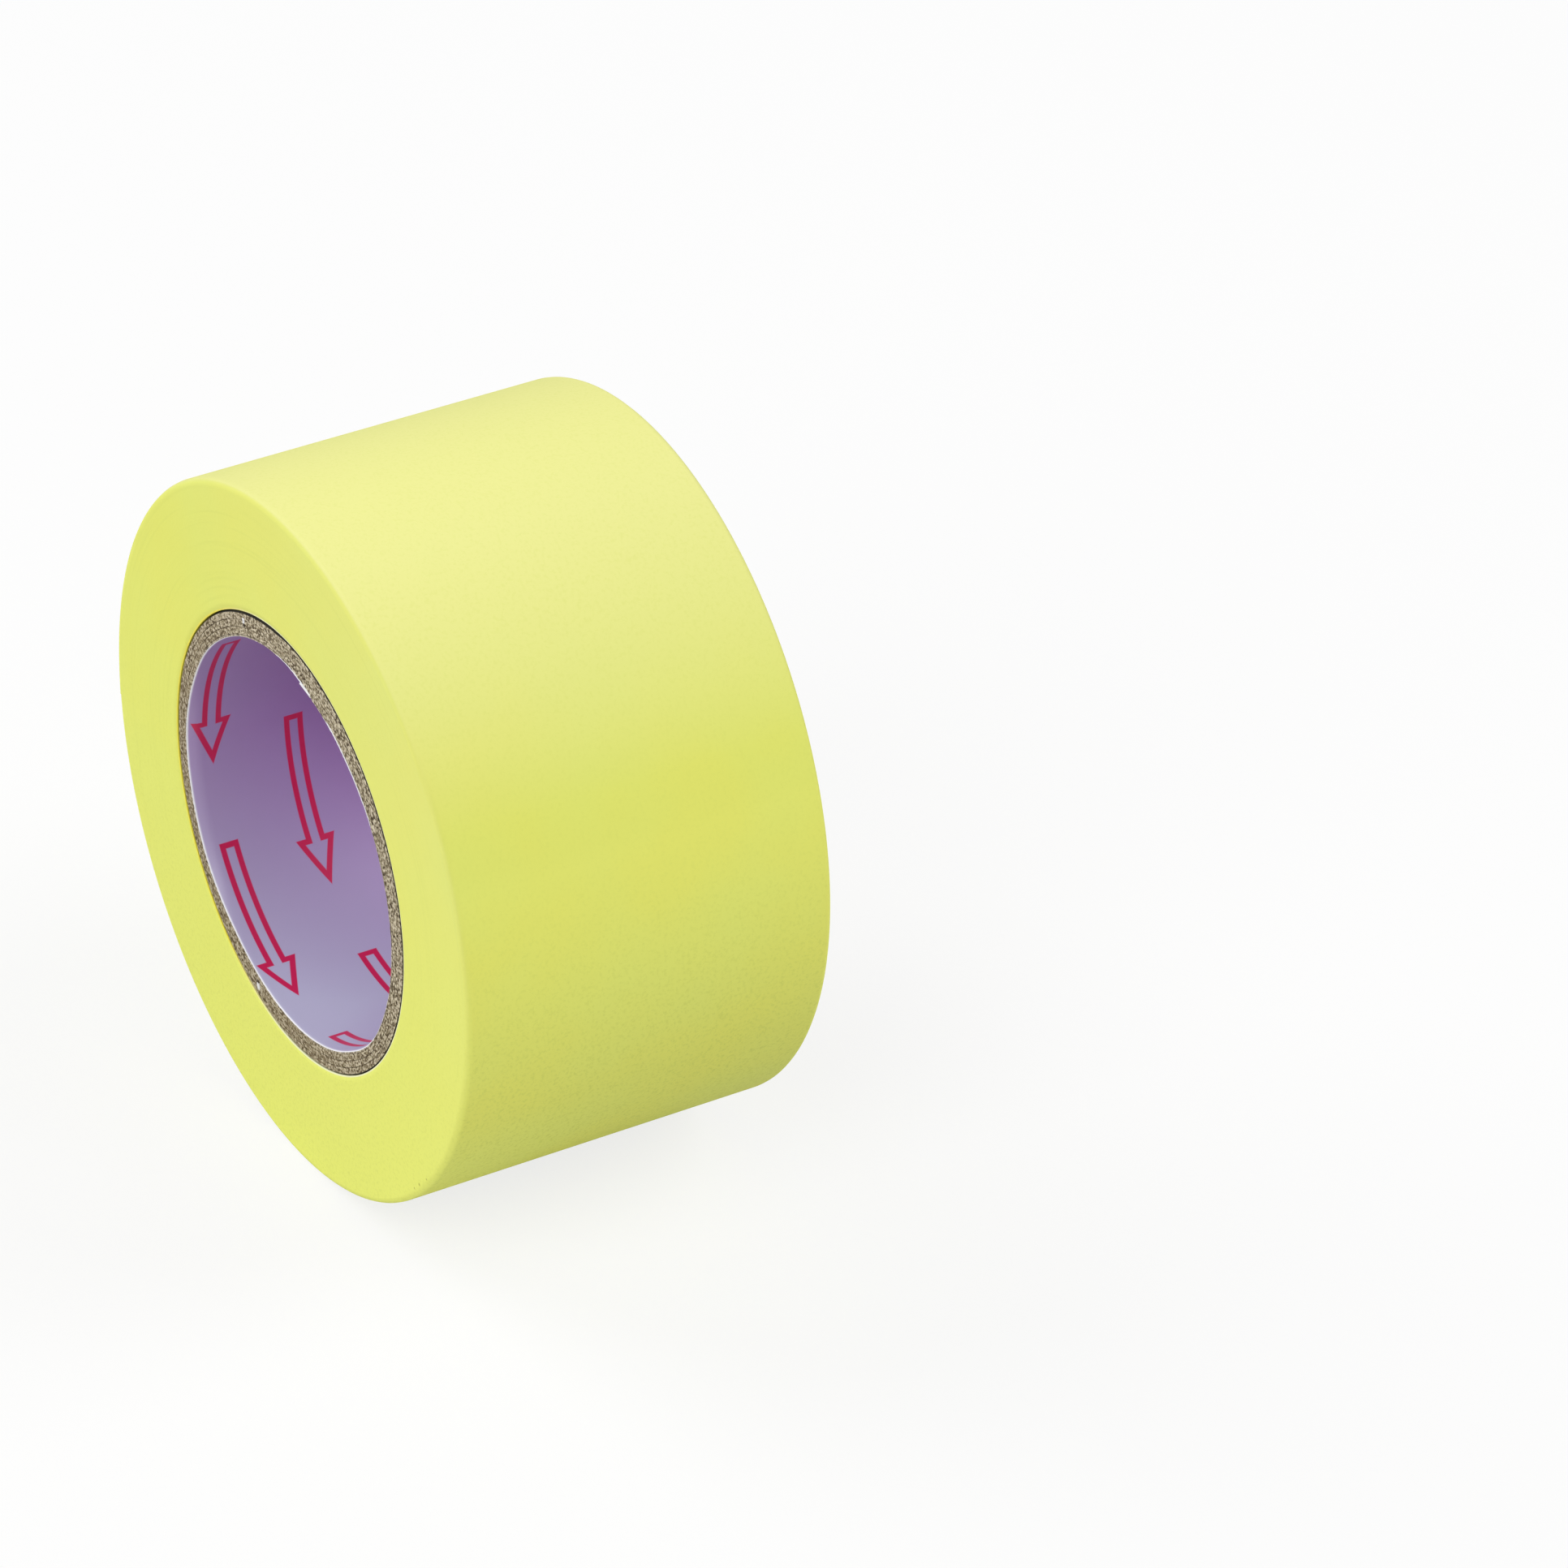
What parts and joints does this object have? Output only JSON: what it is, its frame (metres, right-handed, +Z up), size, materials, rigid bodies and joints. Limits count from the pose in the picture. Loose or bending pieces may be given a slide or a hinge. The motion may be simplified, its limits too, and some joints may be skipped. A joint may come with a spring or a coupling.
{
  "type": "masking tape roll",
  "caption": "Small roll of lemon-yellow paper masking tape, wound on a board core with a white liner, with a free end that lifts.",
  "frame": {"origin": "centre of the bore, on the roll's axis and midway between its two faces", "axes": "+Y along the roll's axis, away from the face that the picture shows; +Z up, with the roll standing on its rim; +X to the right as that face is seen"},
  "size_m": [0.0459, 0.025, 0.0459],
  "materials": {
    "liner_paper": "matte",
    "core_board": "matte",
    "tape_paper": "matte"
  },
  "bodies": {
    "roll": {"core_liner": "liner_paper", "core_inner_ply": "core_board", "core_middle_ply": "core_board", "core_outer_ply": "core_board", "tape_winding": "tape_paper"},
    "free_end": {"tape_end": "tape_paper"}
  },
  "joints": [
    {"name": "tape_end_peel", "type": "hinge", "parent": "roll", "child": "free_end", "pos_m": [-0.01992, 0, 0.0115], "axis": [0, 1, 0], "range_deg": [0, 100]}
  ]
}
